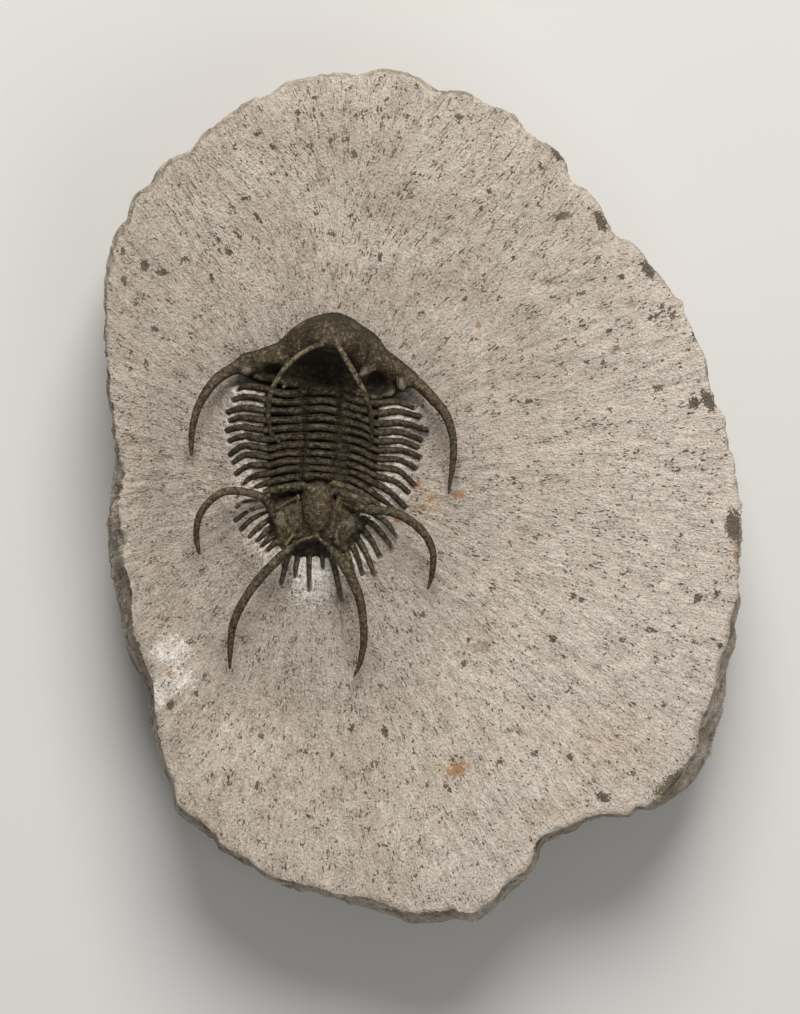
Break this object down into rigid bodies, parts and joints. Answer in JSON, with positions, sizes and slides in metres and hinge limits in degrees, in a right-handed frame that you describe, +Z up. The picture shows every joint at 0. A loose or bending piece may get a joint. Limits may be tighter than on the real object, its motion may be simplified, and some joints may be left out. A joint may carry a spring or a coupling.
{
  "type": "ceratarges trilobite fossil",
  "caption": "Spiny trilobite fossil with long curved horns and side and tail spines, standing free on a hand-sized worked limestone slab.",
  "frame": {"origin": "middle of the slab's outline, on the flat base", "axes": "+Z up out of the worked face, +Y along the slab's length towards the trilobite's head, +X to the trilobite's right"},
  "size_m": [0.0926, 0.1238, 0.0354],
  "materials": {
    "limestone": "matte, with fine tool marks and dark specks",
    "fossil_calcite": "satin"
  },
  "bodies": {
    "root": {"matrix_slab": "limestone", "cranidium": "fossil_calcite", "free_cheek_left": "fossil_calcite", "free_cheek_right": "fossil_calcite", "thoracic_segment_01": "fossil_calcite", "thoracic_segment_02": "fossil_calcite", "thoracic_segment_03": "fossil_calcite", "thoracic_segment_04": "fossil_calcite", "thoracic_segment_05": "fossil_calcite", "thoracic_segment_06": "fossil_calcite", "thoracic_segment_07": "fossil_calcite", "thoracic_segment_08": "fossil_calcite", "thoracic_segment_09": "fossil_calcite", "thoracic_segment_10": "fossil_calcite", "thoracic_segment_11": "fossil_calcite", "pygidium": "fossil_calcite"}
  },
  "joints": []
}
